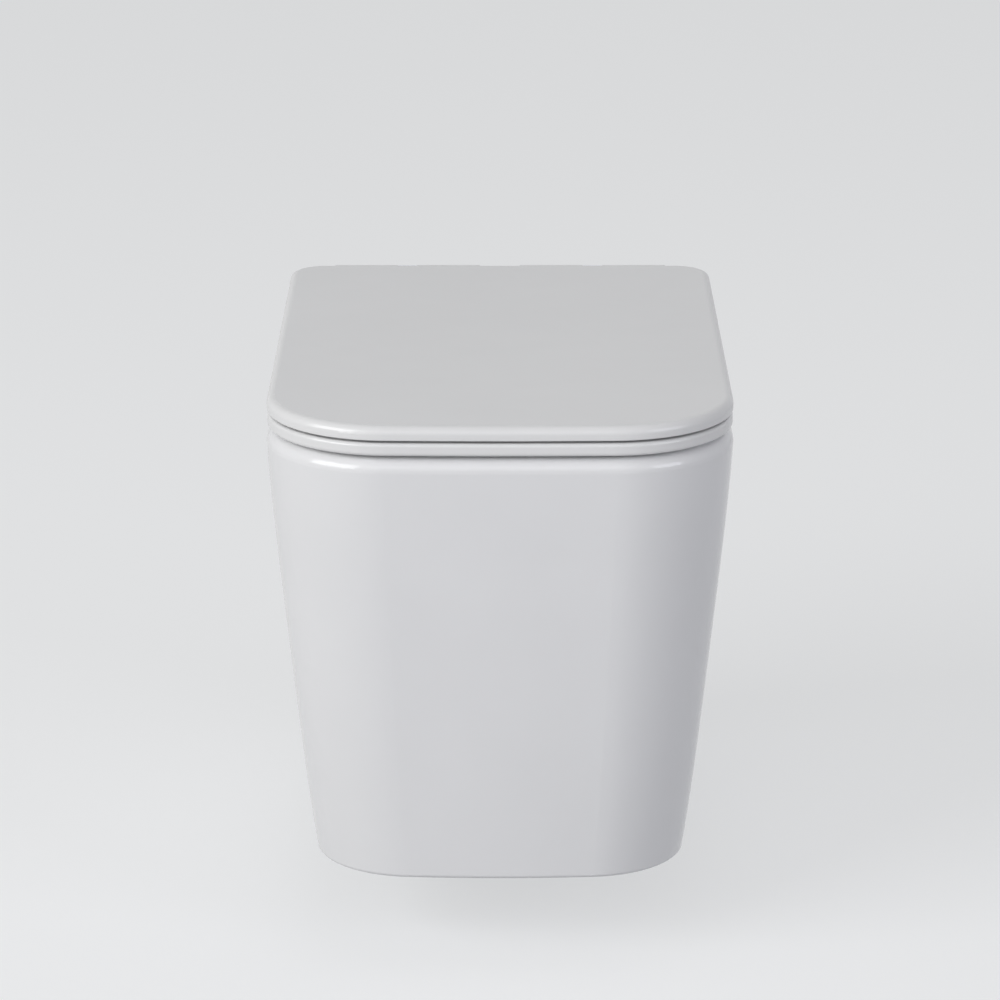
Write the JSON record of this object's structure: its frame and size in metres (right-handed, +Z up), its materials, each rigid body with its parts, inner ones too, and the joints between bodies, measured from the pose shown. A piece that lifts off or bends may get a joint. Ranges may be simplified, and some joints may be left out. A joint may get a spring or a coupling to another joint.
{
  "type": "wall hung toilet",
  "caption": "Shrouded wall hung ceramic toilet with tapering sides, slim soft-close seat ring and flat lid.",
  "frame": {"origin": "midway between the two wall studs, on the plane of the finished wall", "axes": "+Z up, +Y into the wall, +X to the right for someone who faces the toilet"},
  "size_m": [0.3592, 0.5449, 0.3717],
  "materials": {
    "glazed_ceramic": "gloss",
    "seat_plastic": "gloss",
    "soft_pads": "matte",
    "hinge_metal": "polished",
    "screw_steel": "satin",
    "bracket_steel": "zinc plated, satin",
    "sleeve_rubber": "matte",
    "damper_plastic": "matte",
    "fixing_plastic": "matte"
  },
  "bodies": {
    "pan": {"pan": "glazed_ceramic", "hinge_gaskets": "soft_pads", "hinge_base_left": "hinge_metal", "hinge_base_right": "hinge_metal", "hinge_post_left": "hinge_metal", "hinge_post_right": "hinge_metal", "hinge_screws": "screw_steel", "expanding_sleeves": "sleeve_rubber", "hinge_nuts": "fixing_plastic", "lid_damper_shaft": "screw_steel", "seat_damper_shaft": "screw_steel", "lid_hinge_pin": "screw_steel", "seat_hinge_pin": "screw_steel", "wall_bracket_left": "bracket_steel", "wall_bracket_right": "bracket_steel", "stud_washers": "screw_steel", "stud_nuts": "screw_steel", "rib_bushes": "fixing_plastic", "side_screws": "screw_steel", "side_caps": "seat_plastic"},
    "seat": {"seat_ring": "seat_plastic", "seat_buffers": "soft_pads", "seat_damper": "damper_plastic", "seat_bush": "fixing_plastic"},
    "lid": {"lid": "seat_plastic", "lid_buffers": "soft_pads", "lid_damper": "damper_plastic", "lid_bush": "fixing_plastic"}
  },
  "joints": [
    {"name": "seat_hinge", "type": "hinge", "parent": "pan", "child": "seat", "pos_m": [0, -0.0425, 0.0955], "axis": [-1, 0, 0], "range_deg": [0, 92]},
    {"name": "lid_hinge", "type": "hinge", "parent": "seat", "child": "lid", "pos_m": [0, -0.0425, 0.0955], "axis": [-1, 0, 0], "range_deg": [0, 92]}
  ]
}
